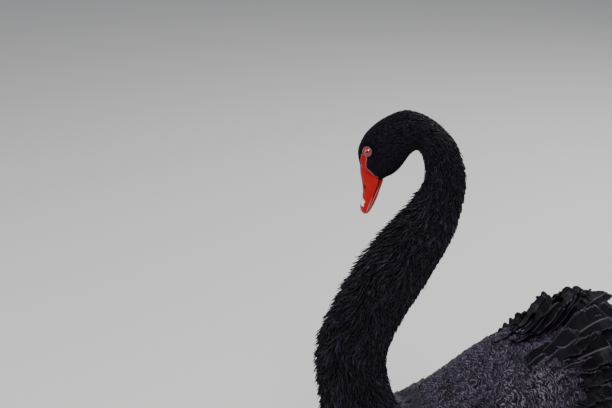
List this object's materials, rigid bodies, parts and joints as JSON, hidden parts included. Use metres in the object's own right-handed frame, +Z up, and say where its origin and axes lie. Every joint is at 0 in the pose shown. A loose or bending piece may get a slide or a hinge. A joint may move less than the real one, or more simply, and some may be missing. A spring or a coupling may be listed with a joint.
{
  "type": "black swan model",
  "caption": "Life-size still model of a standing black swan with its neck raised in an S and its red bill pointing down.",
  "frame": {"origin": "on the floor, under the middle of the bird's bounding box", "axes": "+Z up from the floor, +X from the tail towards the breast, +Y to the bird's left"},
  "size_m": [0.6239, 0.2646, 0.7811],
  "materials": {
    "plumage": "matte",
    "wing_feathers": "matte",
    "bill": "satin",
    "eye": "polished",
    "leg_skin": "satin"
  },
  "bodies": {
    "root": {"head": "plumage", "eye_left": "eye", "eye_right": "eye", "bill_upper": "bill", "bill_lower": "bill", "neck_arch": "plumage", "neck_upper": "plumage", "neck_middle": "plumage", "neck_lower": "plumage", "trunk": "plumage", "tail": "wing_feathers", "wing_left": "wing_feathers", "thigh_left": "plumage", "tarsus_left": "leg_skin", "foot_left": "leg_skin", "wing_right": "wing_feathers", "thigh_right": "plumage", "tarsus_right": "leg_skin", "foot_right": "leg_skin"}
  },
  "joints": []
}
